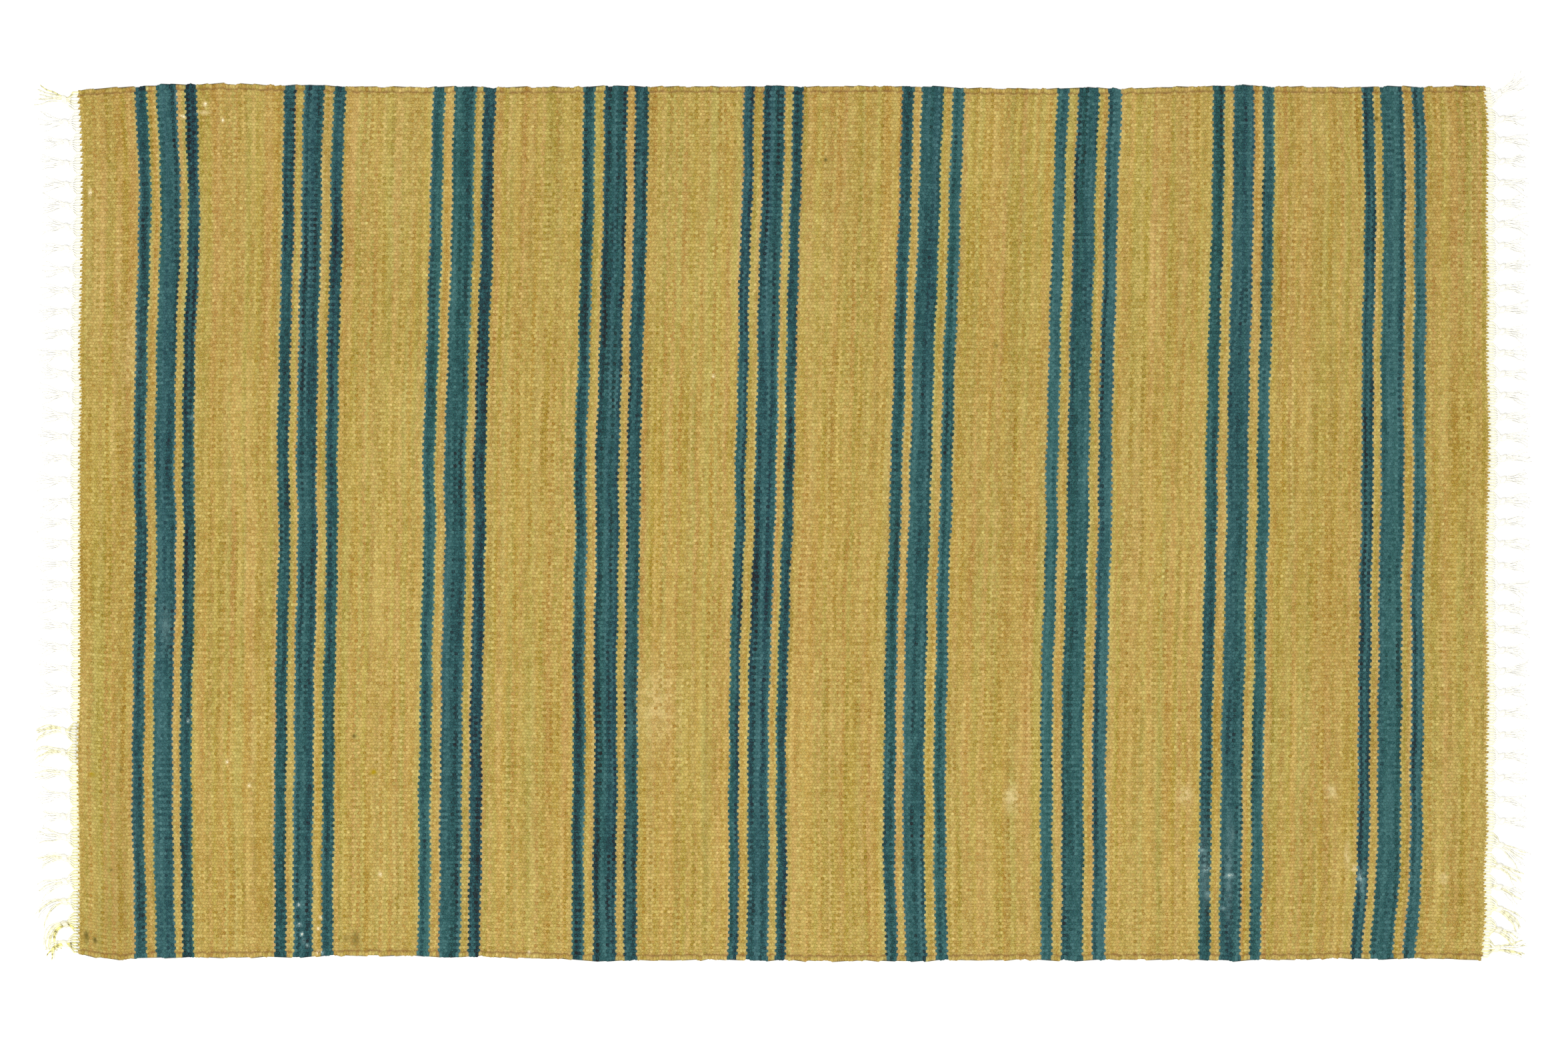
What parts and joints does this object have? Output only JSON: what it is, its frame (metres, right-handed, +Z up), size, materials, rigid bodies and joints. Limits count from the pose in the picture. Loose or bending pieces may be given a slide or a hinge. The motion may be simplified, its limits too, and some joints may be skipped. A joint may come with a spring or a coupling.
{
  "type": "kilim",
  "caption": "Flat-woven kilim with stripes across it, a woven selvedge along each long side and a knotted cotton fringe at each end, lying flat.",
  "frame": {"origin": "middle of the whole rug's footprint, fringes included, on its underside", "axes": "+X along the warps, from one fringe to the other; +Y across the rug, along the stripes; +Z up, off the floor"},
  "size_m": [1.7028, 1.0106, 0.0062],
  "materials": {
    "wool_ground": "mustard wool, weft-faced plain weave, with woven petrol-blue stripes, matt",
    "cotton_warp": "natural white twisted cotton, matt"
  },
  "bodies": {
    "root": {"ground": "wool_ground", "fringe_left": "cotton_warp", "fringe_right": "cotton_warp"}
  },
  "joints": []
}
